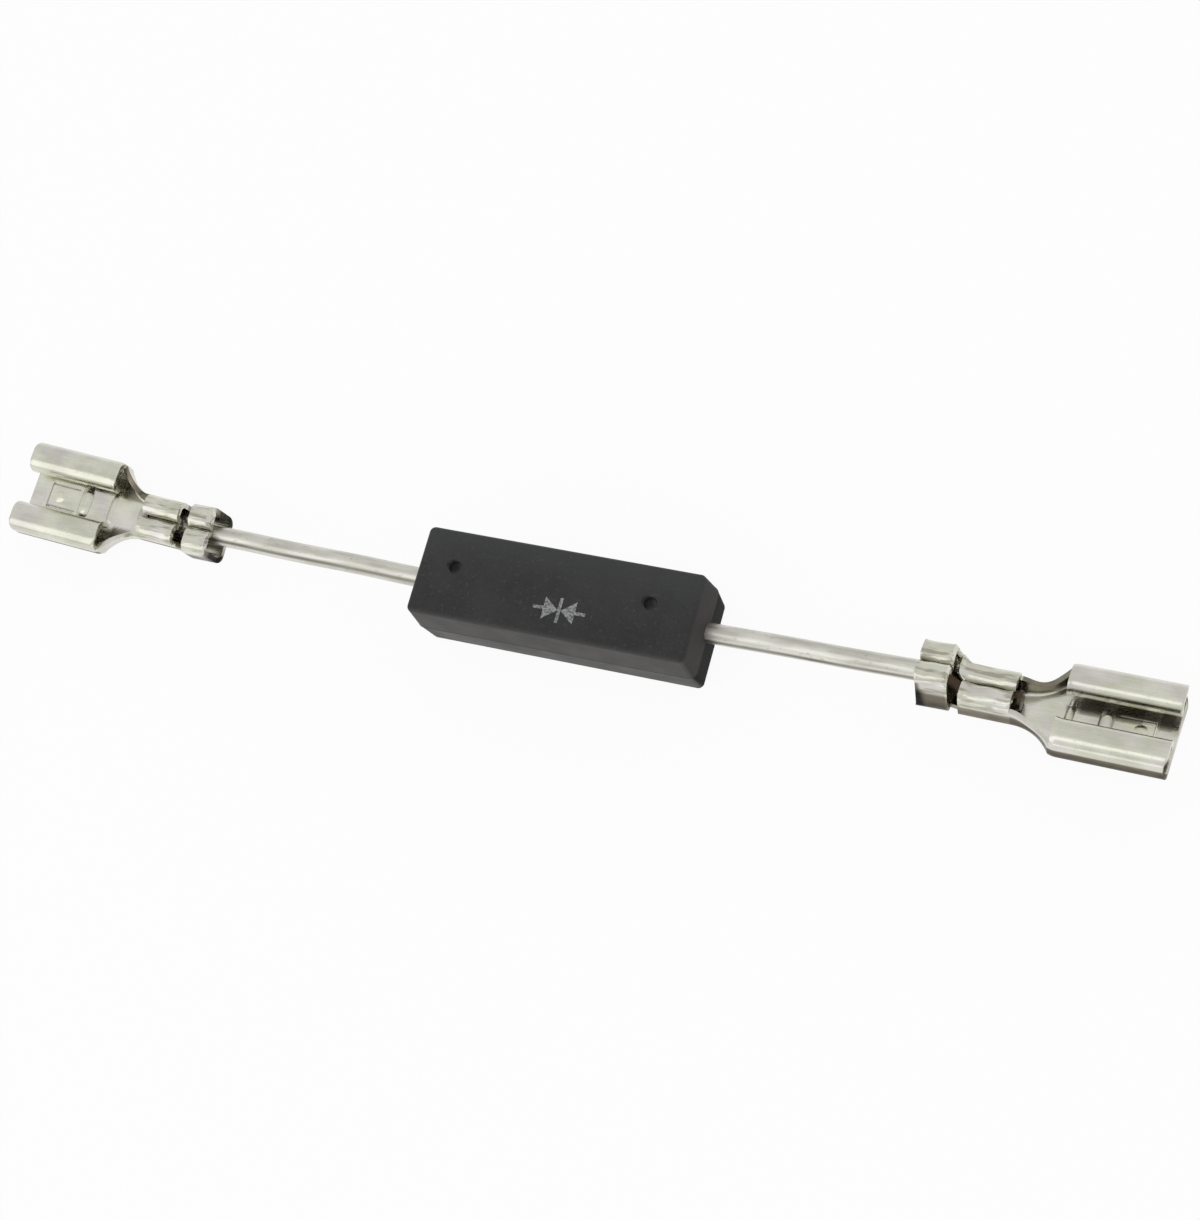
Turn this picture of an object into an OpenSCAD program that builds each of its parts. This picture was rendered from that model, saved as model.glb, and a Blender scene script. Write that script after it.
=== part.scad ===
// High-voltage protector diode: a moulded block with a stiff lead at each end,
// and a folded push-on receptacle crimped to each lead. Millimetres, +X along
// the leads, +Z up. The origin is the middle of the face that the block lies on.

/* [Body] */
// Length of the moulded block along the leads
body_l = 22; // [16:0.5:30]
// Width of the block at its parting line
body_w = 7.1; // [6:0.05:11]
// Thickness of the block from its lower face to its upper face
body_t = 6.5; // [6.5:0.1:10]
// How far each side leans in between the parting line and the faces
draft_in = 0.22; // [0.02:0.01:0.5]
// Radius of the upright corners
corner_r = 0.65; // [0.3:0.05:1.2]
// Radius of the edges round the upper and lower faces
edge_r = 0.35; // [0.1:0.05:0.6]
// Diameter of each ejector mark in the upper face
mark_d = 1; // [0.5:0.1:2]
// Depth of each ejector mark
mark_deep = 0.25; // [0.1:0.05:0.5]
// Distance between the middles of the two ejector marks
mark_span = 15.2; // [8:0.2:16]
// How far the pair of marks lies to the right of the middle
mark_shift = -0.3; // [-0.5:0.1:0.5]
// How far the ejector marks lie behind the middle of the face
mark_back = 0.5; // [0:0.1:1.5]

/* [Leads] */
// Diameter of the lead wire
lead_d = 1.5; // [1:0.05:1.8]
// Bare wire between the block and the left receptacle
lead_out_left = 18.2; // [8:0.1:30]
// Bare wire between the block and the right receptacle
lead_out_right = 15.6; // [8:0.1:30]
// Skew of the left lead towards the back, in degrees
skew_left = 1; // [-6:0.5:6]
// Skew of the right lead towards the back, in degrees
skew_right = 0.5; // [-6:0.5:6]
// Diameter of the flat head on the inner end of each lead
head_d = 3; // [2.4:0.1:4]
// Thickness of that head
head_t = 0.6; // [0.3:0.05:1.2]
// Height at which the wire enters the grip, above its bed in the wire barrel
wire_lift = 0.8; // [0.5:0.05:0.8]
// Thickness to which the wire barrel presses the wire
coin_t = 1.1; // [0.8:0.05:1.2]
// Length of wire that shows past the wire barrel
wire_past = 0.5; // [0.3:0.1:1.2]

/* [Junction stack] */
// Side of the square silicon dice
die_w = 2.2; // [1.5:0.1:3]
// Thickness of one die
die_t = 0.35; // [0.2:0.05:0.6]
// Number of dice in each of the two opposed stacks
dice_per_side = 4; // [2:1:6]
// Thickness of one solder layer
solder_t = 0.15; // [0.1:0.01:0.25]
// Thickness of the copper slug that joins the two stacks
slug_t = 1; // [0.5:0.1:2]

/* [Receptacles] */
// Thickness of the sheet that the receptacles are folded from
stock = 0.4; // [0.25:0.05:0.45]
// Thickness of the blade that the receptacle takes
tab_t = 0.8; // [0.5:0.05:1]
// Width of the blade that the receptacle takes
tab_w = 6.3; // [5.6:0.1:7]
// Room for the blade between the two walls
tab_play = 0.3; // [0.1:0.05:0.5]
// Length of the two rolled sides
roll_l = 7.9; // [7.8:0.1:10]
// Outer radius of the bends of the rolled sides
roll_r = 0.9; // [0.7:0.05:1.1]
// Flat run on top of each rolled side
roll_flat = 0.6; // [0.2:0.05:0.8]
// Straight lip at the free edge of each roll
roll_lip = 0.25; // [0.05:0.05:0.6]
// Radius inside the bends between the floor and the walls
bend_in = 0.3; // [0.05:0.05:0.4]
// Length of the neck between the rolls and the wire barrel
neck_l = 3.25; // [2.5:0.05:6]
// Height of the walls of the neck
neck_wall = 1.7; // [1:0.1:2]
// How deep the walls of the neck dip between their ends
neck_dip = 0.5; // [0.1:0.05:0.6]
// Tip of the left receptacle's open side towards the front, in degrees
lean_left = 4; // [-24:1:24]
// Tip of the right receptacle's open side towards the front, in degrees
lean_right = -24; // [-24:1:24]
// Turn of the left receptacle towards the back, at the strip between grip and barrel, in degrees
turn_left = 2.5; // [-4:0.5:4]
// Turn of the right receptacle towards the back, at the same place, in degrees
turn_right = -1.5; // [-4:0.5:4]

/* [Crimps] */
// Length of the wire barrel
barrel_l = 3.4; // [2.5:0.1:6]
// Width of the closed wire barrel
barrel_w = 3.5; // [3.1:0.1:4]
// Length of the grip behind the wire barrel
grip_l = 2.15; // [1.5:0.05:3]
// Width of the closed grip
grip_w = 3.8; // [3.4:0.1:5]
// Flat run on top of each wing of the wire barrel
barrel_flat = 0.3; // [0.1:0.05:0.5]
// Flat run on top of each wing of the grip
grip_flat = 0.6; // [0.1:0.05:0.7]
// Gap between the grip and the wire barrel
crimp_slot = 1.2; // [0.8:0.05:1.6]
// Width of the strip that joins the grip to the wire barrel
strip_w = 2.5; // [1:0.1:2.6]
// How far the receptacle from the barrel on stands to one side of the grip
side_step = 0.25; // [-0.4:0.05:0.4]
// Radius inside the bends at the foot of the crimp wings
foot_in = 0.35; // [0.1:0.05:0.4]
// Straight tip at the free edge of each crimp wing
wing_tip = 0.15; // [0.05:0.05:0.3]
// Gap that stays open between two folded wings
seam = 0.08; // [0.04:0.01:0.2]
// Clearance between a wing's tip and the wire
crimp_gap = 0.02; // [0.01:0.01:0.05]

/* [Lance] */
// Distance from the mouth to the free end of the lance
lance_from = 1.6; // [1.2:0.1:2.2]
// Distance from the mouth to the root of the lance
lance_to = 4.2; // [3.6:0.1:4.3]
// Width of the lance
lance_w = 1.8; // [1:0.1:2]
// Width of the slots round the lance
lance_slot = 0.25; // [0.15:0.05:0.4]
// Rise of the lance, in degrees
lance_rise = 3; // [1:0.5:5]
// Radius of the round dimple on the lance
dimple_r = 0.4; // [0.3:0.05:0.6]
// Height of the dimple
dimple_h = 0.15; // [0.1:0.05:0.25]
// Distance from the mouth to the pressed rib behind the lance
rib_from = 4.9; // [4.9:0.1:6.5]
// Length of the rib along the blade
rib_l = 0.7; // [0.4:0.1:1.1]
// Height of the rib
rib_h = 0.25; // [0.1:0.05:0.3]
// Distance from the mouth to the stop that the blade meets
stop_from = 7.3; // [7.2:0.1:7.4]
// Thickness and height of that stop
stop_t = 0.25; // [0.2:0.05:0.4]

/* [Hidden] */
$fn = 64;

// Heights: the leads leave the block at its parting line
lead_r = lead_d / 2;
lead_h = body_t / 2;
// Margin by which a cutting shape passes what it cuts
past = 1;

// Heights in a receptacle are measured from the wire where it enters the grip
floor_top = -lead_r - wire_lift;
floor_low = floor_top - stock;

// Places along a receptacle, from the wire end to the mouth
barrel_x = grip_l + crimp_slot;
neck_x = barrel_x + barrel_l;
roll_x = neck_x + neck_l;
mouth_x = roll_x + roll_l;
wire_end = neck_x + wire_past;

// Half widths of the three folded sections
roll_half = tab_w / 2 + tab_play / 2 + stock;
barrel_half = barrel_w / 2;
grip_half = grip_w / 2;
// Straight run at each end of the neck's curves
neck_land = 0.15;
// Hollow flare from the barrel's width to the width over the rolls
flare_step = roll_half - barrel_half;
flare_l = neck_l - 2 * neck_land;
flare_r = (pow(flare_l, 2) + pow(flare_step, 2)) / (2 * flare_step);
// The pressed features stay clear of the lips of the rolls
rib_w = 2 * (roll_half - 2 * roll_r - roll_flat);

// The wire keeps its section area where the barrel presses it
coin_flat = PI * (pow(lead_r, 2) - pow(coin_t / 2, 2)) / coin_t;
coin_top = floor_top + coin_t;
// Inside the grip the wire turns down, and it reaches its bed before the barrel
strip_x = grip_l + crimp_slot / 2;
kink_x = grip_l / 4;
dip_room = 0.15;
dip_run = barrel_x - dip_room - kink_x;
dip_angle = atan((wire_lift - dip_room) / dip_run);
dip_l = dip_run / cos(dip_angle) - lead_r * tan(dip_angle);
// The web between the wings starts at the height of the wire's top and slopes down to the barrel
web_top = lead_r;
web_slope = 40;

// The stack lies in the middle of the block
die_count = 2 * dice_per_side;
solder_count = die_count + 2;
stack_l = die_count * die_t + solder_count * solder_t + slug_t;
head_x = stack_l / 2;

// A side is -1 for the left and 1 for the right
function lead_out(side) = side < 0 ? lead_out_left : lead_out_right;
function skew(side) = side < 0 ? skew_left : skew_right;
function lean(side) = side < 0 ? lean_left : lean_right;
function turn(side) = side < 0 ? turn_left : turn_right;
// Wire inside the block, from the middle of its head to the block's end
function buried(side) = (body_l / 2 - head_x - head_t / 2) / cos(skew(side));

// Where a layer of the stack starts: on the right of the slug everything is one slug further on
function die_x(i) = -head_x + (i - 1) * die_t
    + (i > dice_per_side ? slug_t + (i + 1) * solder_t : i * solder_t);
function solder_x(j) = -head_x + (j - 1) * solder_t
    + (j > dice_per_side + 1 ? slug_t + (j - 2) * die_t : (j - 1) * die_t);
slug_x = -slug_t / 2;

// A convex outline whose corners have their own radii, and stay sharp at 0:
// the outline cut back to where each corner's circle touches it, and the circles
module round_outline(points, radii) {
    n = len(points);
    function unit(v) = v / norm(v);
    to_next = [for (i = [0 : n - 1]) unit(points[(i + 1) % n] - points[i])];
    to_last = [for (i = [0 : n - 1]) unit(points[(i + n - 1) % n] - points[i])];
    half = [for (i = [0 : n - 1]) acos(to_next[i] * to_last[i]) / 2];
    polygon([for (i = [0 : n - 1]) for (v = radii[i] > 0 ? [to_last[i], to_next[i]] : [to_next[i] * 0])
        points[i] + v * radii[i] / tan(half[i])]);
    for (i = [0 : n - 1])
        if (radii[i] > 0)
            translate(points[i] + unit(to_next[i] + to_last[i]) * radii[i] / sin(half[i]))
                circle(radii[i]);
}

// The block seen from one side: widest at the sharp parting line, with round edges
module drafted_outline(half) {
    face = half - draft_in;
    round_outline([[-face, 0], [face, 0], [half, lead_h], [face, body_t], [-face, body_t], [-half, lead_h]],
                  [edge_r, edge_r, 0, edge_r, edge_r, 0]);
}

// The block seen from above
module plan_outline() {
    corner = [body_l, body_w] / 2;
    round_outline([for (s = [[-1, -1], [1, -1], [1, 1], [-1, 1]]) [s[0] * corner[0], s[1] * corner[1]]],
                  [for (i = [1 : 4]) corner_r]);
}

// The space that the leads' inner ends and the stack take up in the block
module insert_space() {
    translate([-head_x, -die_w / 2, lead_h - die_w / 2])
        cube([stack_l, die_w, die_w]);
    for (side = [-1, 1]) {
        lead_head(side);
        along_wire(side)
            wire(0, buried(side) + past);
    }
}

module moulded_body() {
    color("#38393b")
        difference() {
            intersection() {
                rotate([90, 0, 0])
                    linear_extrude(body_w + 2 * past, center = true)
                        drafted_outline(body_l / 2);
                rotate([90, 0, 90])
                    linear_extrude(body_l + 2 * past, center = true)
                        drafted_outline(body_w / 2);
                linear_extrude(body_t)
                    plan_outline();
            }
            insert_space();
            for (side = [-1, 1])
                translate([mark_shift + side * mark_span / 2, mark_back, body_t - mark_deep])
                    cylinder(h = mark_deep + past, d = mark_d);
        }
}

// Frame of one end of the block: X from the middle of the stack out to the left or right
module outward(side) {
    translate([0, 0, lead_h])
        rotate([0, 0, side < 0 ? 180 : 0])
            children();
}

// Frame of one wire: X from the middle of its head out along the wire
module along_wire(side) {
    outward(side)
        translate([head_x + head_t / 2, 0, 0])
            rotate([0, 0, side * skew(side)])
                children();
}

// Frame of one receptacle: X from its wire end to its mouth, Z to its open side
module at_terminal(side) {
    along_wire(side)
        translate([buried(side) + lead_out(side), 0, 0])
            rotate([side * lean(side), 0, 0])
                children();
}

// Frame of the same receptacle from the strip on, where it is turned a little
module at_barrel(side) {
    at_terminal(side)
        translate([strip_x, -side_step, 0])
            rotate([0, 0, side * turn(side)])
                translate([-strip_x, 0, 0])
                    children();
}

// A length of round wire along X
module wire(from, to) {
    translate([from, 0, 0])
        rotate([0, 90, 0])
            cylinder(h = to - from, d = lead_d);
}

// The flat head that the stack is soldered to
module lead_head(side) {
    outward(side)
        translate([head_x, 0, 0])
            rotate([0, 90, 0])
                cylinder(h = head_t, d = head_d);
}

// A block that clears the wire on one side of its kink: before it or after it
module kink_cutter(after) {
    side = 2 * lead_d + 2 * past;
    rotate([0, dip_angle / 2, 0])
        translate([after ? 0 : -side, -side / 2, -side / 2])
            cube(side);
}

// The straight wire up to its kink in the grip, and the length that dips to the barrel's floor
module kinked_wire(length) {
    translate([kink_x, 0, 0]) {
        difference() {
            wire(-length - kink_x, past);
            kink_cutter(true);
        }
        difference() {
            rotate([0, dip_angle, 0])
                wire(-past, dip_l);
            kink_cutter(false);
        }
    }
}

// The wire where the barrel has pressed it flat
module coined_wire() {
    translate([strip_x, 0, floor_top + coin_t / 2])
        rotate([90, 0, 90])
            linear_extrude(neck_x - strip_x) {
                square([coin_flat, coin_t], center = true);
                for (s = [-1, 1])
                    translate([s * coin_flat / 2, 0])
                        circle(d = coin_t);
            }
}

module lead(side) {
    color("#c9c7c0")
        union() {
            lead_head(side);
            at_terminal(side)
                kinked_wire(buried(side) + lead_out(side));
            at_barrel(side) {
                coined_wire();
                translate([0, 0, -wire_lift])
                    wire(neck_x, wire_end);
            }
        }
}

// Half of a folded section: floor, bend, wall, flattened roll and a straight tip.
// X is across the receptacle and Y is its height
module folded_half(half, bend_r, fold_r, flat, tip_z, tip_l) {
    roll_z = tip_z + tip_l;
    inner_x = half - fold_r - flat;
    translate([0, floor_low])
        square([half - bend_r, stock]);
    translate([half - bend_r, floor_low + bend_r])
        intersection() {
            band(bend_r);
            translate([0, -bend_r])
                square(bend_r);
        }
    translate([half - stock, floor_low + bend_r])
        square([stock, roll_z - floor_low - bend_r]);
    translate([half - fold_r, roll_z])
        intersection() {
            band(fold_r);
            square(fold_r);
        }
    translate([inner_x, roll_z + fold_r - stock])
        square([flat, stock]);
    translate([inner_x, roll_z])
        intersection() {
            band(fold_r);
            translate([-fold_r, 0])
                square(fold_r);
        }
    translate([inner_x - fold_r, tip_z])
        square([stock, tip_l]);
}

// A ring of sheet with its outer radius
module band(r) {
    difference() {
        circle(r);
        circle(r - stock);
    }
}

// Radius of the bends of a wing that reaches from the wall to the seam
function wing_r(half, flat) = (half - seam / 2 - flat) / 2;

// A length of folded section along X
module folded(from, length, half, bend_r, fold_r, flat, tip_z, tip_l) {
    translate([from, 0, 0])
        rotate([90, 0, 90])
            linear_extrude(length)
                for (s = [0, 1])
                    mirror([s, 0])
                        folded_half(half, bend_r, fold_r, flat, tip_z, tip_l);
}

module rolled_sides() {
    folded(roll_x, roll_l, roll_half, bend_in + stock, roll_r, roll_flat, floor_top + tab_t, roll_lip);
}

module wire_barrel() {
    folded(barrel_x, barrel_l, barrel_half, foot_in + stock, wing_r(barrel_half, barrel_flat), barrel_flat,
           coin_top + crimp_gap, wing_tip);
}

module wire_grip() {
    folded(0, grip_l, grip_half, foot_in + stock, wing_r(grip_half, grip_flat), grip_flat,
           lead_r + crimp_gap, wing_tip);
}

// The strip of floor that joins the grip to the barrel, let into the floors of both
module strip() {
    translate([grip_l - neck_land, -strip_w / 2, floor_low])
        cube([crimp_slot + 2 * neck_land, strip_w, stock]);
}

// The wall that runs on from the grip's wing to the barrel's wing on one side, with a sloping top
module web() {
    from = grip_l - neck_land;
    to = barrel_x + neck_land;
    low = floor_low + foot_in + stock;
    barrel_side = barrel_half - side_step;
    difference() {
        translate([0, 0, low])
            linear_extrude(web_top - low)
                polygon([[from, grip_half - stock], [to, barrel_side - stock], [to, barrel_side], [from, grip_half]]);
        translate([grip_l, 0, web_top])
            rotate([0, web_slope, 0])
                translate([0, -grip_w, 0])
                    cube([2 * crimp_slot, 2 * grip_w, web_top - low]);
    }
}

// The neck seen from above, drawn in by inset; reach lengthens it at both ends
module neck_outline(inset, reach) {
    flare_x = neck_x + neck_land;
    difference() {
        translate([neck_x - reach, -roll_half])
            square([neck_l + 2 * reach, 2 * roll_half]);
        for (s = [0, 1])
            mirror([0, s]) {
                translate([neck_x - past, barrel_half - inset])
                    square([flare_x - neck_x + past, 2 * roll_half]);
                translate([flare_x, barrel_half + flare_r])
                    circle(flare_r + inset);
            }
    }
}

module neck() {
    // A cylinder across the neck dips the walls between their ends
    dip_half = neck_l / 2 - 2 * neck_land;
    dip_r = (pow(dip_half, 2) + pow(neck_dip, 2)) / (2 * neck_dip);
    translate([0, 0, floor_low]) {
        linear_extrude(stock)
            neck_outline(0, 0);
        difference() {
            linear_extrude(neck_wall)
                difference() {
                    neck_outline(0, 0);
                    neck_outline(stock, past);
                }
            translate([neck_x + neck_l / 2, 0, neck_wall - neck_dip + dip_r])
                rotate([90, 0, 0])
                    cylinder(h = 2 * (roll_half + past), r = dip_r, center = true);
        }
    }
}

// The opening in the floor round the lance
module lance_window() {
    half = lance_w / 2 + lance_slot;
    translate([mouth_x - lance_to, -half, floor_low - past])
        cube([lance_to - lance_from + lance_slot, 2 * half, stock + 2 * past]);
}

// The lance is a tongue of the floor that rises from its root towards the mouth
module lance() {
    lance_l = lance_to - lance_from;
    cap_r = (pow(dimple_r, 2) + pow(dimple_h, 2)) / (2 * dimple_h);
    translate([mouth_x - lance_to, 0, floor_low])
        rotate([0, -lance_rise, 0]) {
            translate([0, -lance_w / 2, 0])
                cube([lance_l, lance_w, stock]);
            translate([lance_l - lance_w / 2, 0, stock])
                intersection() {
                    translate([0, 0, dimple_h - cap_r])
                        sphere(cap_r);
                    translate([0, 0, dimple_h / 2])
                        cube([lance_w, lance_w, dimple_h], center = true);
                }
        }
}

// A low round rib, pressed up across the floor
module rib() {
    rib_r = (pow(rib_l / 2, 2) + pow(rib_h, 2)) / (2 * rib_h);
    translate([mouth_x - rib_from, 0, floor_top])
        intersection() {
            translate([0, 0, rib_h - rib_r])
                rotate([90, 0, 0])
                    cylinder(h = rib_w, r = rib_r, center = true);
            translate([-rib_l, -rib_w, 0])
                cube([2 * rib_l, 2 * rib_w, 2 * rib_h]);
        }
}

// The upright stop that the blade meets
module stop() {
    translate([mouth_x - stop_from - stop_t, -rib_w / 2, floor_top])
        cube([stop_t, rib_w, stop_t]);
}

module terminal(side) {
    color("#b9b8ae")
        union() {
            at_terminal(side) {
                wire_grip();
                strip();
                web();
            }
            at_barrel(side) {
                difference() {
                    union() {
                        wire_barrel();
                        neck();
                        rolled_sides();
                    }
                    lance_window();
                }
                lance();
                rib();
                stop();
            }
        }
}

// A square layer of the stack
module stack_layer(from, thickness) {
    translate([from, -die_w / 2, lead_h - die_w / 2])
        cube([thickness, die_w, die_w]);
}

module die(i) {
    color("#5b6068")
        stack_layer(die_x(i), die_t);
}

module solder(j) {
    color("#a9abad")
        stack_layer(solder_x(j), solder_t);
}

module centre_slug() {
    color("#b87a4b")
        stack_layer(slug_x, slug_t);
}

moulded_body();
lead(-1);  // lead_left
lead(1);  // lead_right
terminal(-1);  // terminal_left
terminal(1);  // terminal_right
centre_slug();
for (i = [1 : die_count])
    die(i);
for (j = [1 : solder_count])
    solder(j);
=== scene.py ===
# %% [markdown]
# # A moulded diode with two crimped receptacles
# The object is a small black block that holds two diodes that face each other.
# A stiff tinned wire leaves each end, and a push-on receptacle is crimped to
# each wire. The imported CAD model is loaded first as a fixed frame: it says where
# each piece is. Everything below gives those pieces their real surfaces.

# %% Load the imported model
from math import asin, atan2, cos, degrees, pi, radians, sin, sqrt, tan

import bpy
from mathutils import Matrix, Vector


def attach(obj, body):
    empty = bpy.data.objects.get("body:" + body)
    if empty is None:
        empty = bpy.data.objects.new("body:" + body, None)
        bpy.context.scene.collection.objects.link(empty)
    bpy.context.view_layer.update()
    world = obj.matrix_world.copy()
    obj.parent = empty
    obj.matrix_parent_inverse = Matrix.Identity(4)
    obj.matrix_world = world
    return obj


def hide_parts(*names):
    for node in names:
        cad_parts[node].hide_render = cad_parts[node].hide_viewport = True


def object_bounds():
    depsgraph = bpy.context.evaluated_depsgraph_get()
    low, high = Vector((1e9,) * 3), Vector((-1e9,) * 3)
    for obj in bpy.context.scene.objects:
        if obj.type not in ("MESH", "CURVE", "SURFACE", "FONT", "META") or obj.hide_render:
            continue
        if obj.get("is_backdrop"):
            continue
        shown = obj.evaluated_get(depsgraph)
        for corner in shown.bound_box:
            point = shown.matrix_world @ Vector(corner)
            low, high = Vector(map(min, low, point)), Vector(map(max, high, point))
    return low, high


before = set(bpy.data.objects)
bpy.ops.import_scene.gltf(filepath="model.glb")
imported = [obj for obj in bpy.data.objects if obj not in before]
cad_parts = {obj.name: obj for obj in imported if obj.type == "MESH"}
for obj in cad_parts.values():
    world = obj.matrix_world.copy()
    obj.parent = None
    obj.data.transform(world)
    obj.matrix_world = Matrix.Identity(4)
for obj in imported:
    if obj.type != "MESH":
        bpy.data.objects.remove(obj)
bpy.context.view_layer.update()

print("CAD nodes:", len(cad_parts))

# %% [markdown]
# ## Sums that add nodes
# A procedural finish is a graph of nodes, and a long sum in such a graph is slow
# to read back. So a small class stands for the output of a node: a plain Python
# sum with it adds the Math nodes, and both orders work, as in 1 - mask.

# %% Signals


class Signal:
    """The output of a node. Sums with it add Math nodes to the same finish."""

    def __init__(self, finish, socket):
        self.finish = finish
        self.socket = socket

    def math(self, operation, *terms):
        return self.finish.node("ShaderNodeMath", {"operation": operation}, dict(enumerate(terms)))

    def __add__(self, other):
        return self.math("ADD", self, other)

    def __sub__(self, other):
        return self.math("SUBTRACT", self, other)

    def __rsub__(self, other):
        return self.math("SUBTRACT", other, self)

    def __mul__(self, other):
        return self.math("MULTIPLY", self, other)

    __radd__ = __add__
    __rmul__ = __mul__

    def step(self, low, high, to_low=0.0, to_high=1.0):
        """A smooth ramp from to_low, where the value is low, to to_high, where it is high."""
        return self.finish.node(
            "ShaderNodeMapRange", {"interpolation_type": "SMOOTHSTEP"},
            {"Value": self, "From Min": low, "From Max": high, "To Min": to_low, "To Max": to_high})


print("signals add, subtract and multiply")

# %% [markdown]
# ## One method for every other node
# All other nodes come from a single method, which takes a node's type, its
# settings and its sockets. The rest of the class only gives short names to the
# few nodes that the finishes below use again and again.

# %% Finishes
MM = 0.001


class Finish:
    """A material made of nodes."""

    def __init__(self, name):
        self.material = bpy.data.materials.new(name)
        self.material.use_nodes = True
        self.tree = self.material.node_tree
        self.tree.nodes.clear()

    def node(self, kind, settings=None, sockets=None, out=0):
        """Adds a node. Settings go first, because some of them change which sockets there are."""
        made = self.tree.nodes.new(kind)
        for name, value in (settings or {}).items():
            setattr(made, name, value)
        for name, value in (sockets or {}).items():
            if isinstance(value, Signal):
                self.tree.links.new(value.socket, made.inputs[name])
            else:
                made.inputs[name].default_value = value
        return Signal(self, made.outputs[out]) if made.outputs else None

    def place(self, stretch=(1, 1, 1)):
        """Where a point of the piece is, in millimetres, divided by stretch."""
        spot = self.node("ShaderNodeTexCoord", out="Object")
        return self.node("ShaderNodeVectorMath", {"operation": "MULTIPLY"},
                         {0: spot, 1: [1 / MM / s for s in stretch]})

    def axis(self, letter):
        """One coordinate of a point of the piece, in millimetres."""
        return self.node("ShaderNodeSeparateXYZ", sockets={0: self.place()}, out=letter)

    def noise(self, size, stretch=(1, 1, 1), detail=2.0, rough=0.5):
        """Soft random spots of about that size in millimetres, from 0 to 1."""
        return self.node("ShaderNodeTexNoise", {"noise_dimensions": "3D"},
                         {"Vector": self.place(stretch), "Scale": 1 / size,
                          "Detail": detail, "Roughness": rough})

    def tint(self, factor, a, b):
        """The colour a where the factor is 0 and b where it is 1."""
        # A Mix node has sockets for each type of data: colours are inputs 6 and 7, and output 2.
        return self.node("ShaderNodeMix", {"data_type": "RGBA"}, {0: factor, 6: a, 7: b}, out=2)

    def layers(self, colour, *coats):
        """Coats over a first colour, one after another: how much each covers, and its colour."""
        for cover, coat in coats:
            colour = self.tint(cover, colour, coat)
        return colour

    def painted(self, attribute):
        """A number that the mesh code left on each point."""
        return self.node("ShaderNodeAttribute", {"attribute_name": attribute}, out="Fac")

    def bump(self, height, depth):
        """Relief: height runs from 0 to 1, and depth is in millimetres."""
        return self.node("ShaderNodeBump",
                         sockets={"Height": height, "Strength": 1.0, "Distance": depth * MM})

    def surface(self, **sockets):
        """The Principled shader, joined to the output."""
        names = {name.replace("_", " "): value for name, value in sockets.items()}
        shader = self.node("ShaderNodeBsdfPrincipled", sockets=names)
        self.node("ShaderNodeOutputMaterial", sockets={"Surface": shader})
        print(self.material.name, "nodes", len(self.tree.nodes))
        return self.material


print("finishes are measured in millimetres")

# %% [markdown]
# ## Meshes in millimetres
# Blender works in metres, but this part is drawn in millimetres. Tiny numbers
# also upset bevels and booleans. So each mesh is made in millimetres, its
# modifiers are applied at that size, and the result is scaled down once.

# %% Mesh helpers


def millimetre_object(name, points, faces):
    """An object whose mesh is still in millimetres."""
    mesh = bpy.data.meshes.new(name)
    mesh.from_pydata([tuple(p) for p in points], [], faces)
    made = bpy.data.objects.new(name, mesh)
    bpy.context.scene.collection.objects.link(made)
    return made


def modify(made, kind, **settings):
    """Adds a modifier, which settle applies later."""
    modifier = made.modifiers.new(kind, kind)
    for name, value in settings.items():
        setattr(modifier, name, value)


def settle(made, sharp):
    """Applies the modifiers, goes to metres, and shades smooth up to edges of that angle."""
    depsgraph = bpy.context.evaluated_depsgraph_get()
    mesh = bpy.data.meshes.new_from_object(made.evaluated_get(depsgraph))
    made.modifiers.clear()
    made.data = mesh
    mesh.transform(Matrix.Scale(MM, 4))
    mesh.shade_smooth()
    mesh.set_sharp_from_angle(angle=radians(sharp))
    mesh.calc_loop_triangles()
    print(made.name, "triangles", len(mesh.loop_triangles))


def stand_for(made, node, slot, *finishes):
    """Adds finishes, rides with the root, hides the CAD node. The slot is not used."""
    for finish in finishes:
        made.data.materials.append(finish)
    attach(made, "root")
    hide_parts(node)


print("meshes are scaled by", MM)

# %% [markdown]
# ## The camera
# The photo was taken from above, in front and to the right. The camera's place
# and its three directions come from a fit of the CAD model's outline to the
# photo, so the picture has the photo's perspective.

# %% Camera
SENSOR = 36.0
PHOTO_W = 1200
focal_px = 2463.07
eye = Vector((61.7493, -44.9208, 165.876))
to_right = Vector((0.927548, 0.26465, -0.263846))
to_down = Vector((0.174013, -0.930686, -0.321781))
ahead = to_right.cross(to_down)

lens = bpy.data.cameras.new("camera")
lens.sensor_fit = "HORIZONTAL"
lens.sensor_width = SENSOR
lens.lens = SENSOR * focal_px / PHOTO_W
lens.clip_start = 0.005
camera = bpy.data.objects.new("camera", lens)
camera.matrix_world = (Matrix.Translation(eye * MM)
                       @ Matrix((to_right, -to_down, -ahead)).transposed().to_4x4())
bpy.context.scene.collection.objects.link(camera)
bpy.context.scene.camera = camera
print("camera", round(eye.length), "mm from the block")
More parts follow.
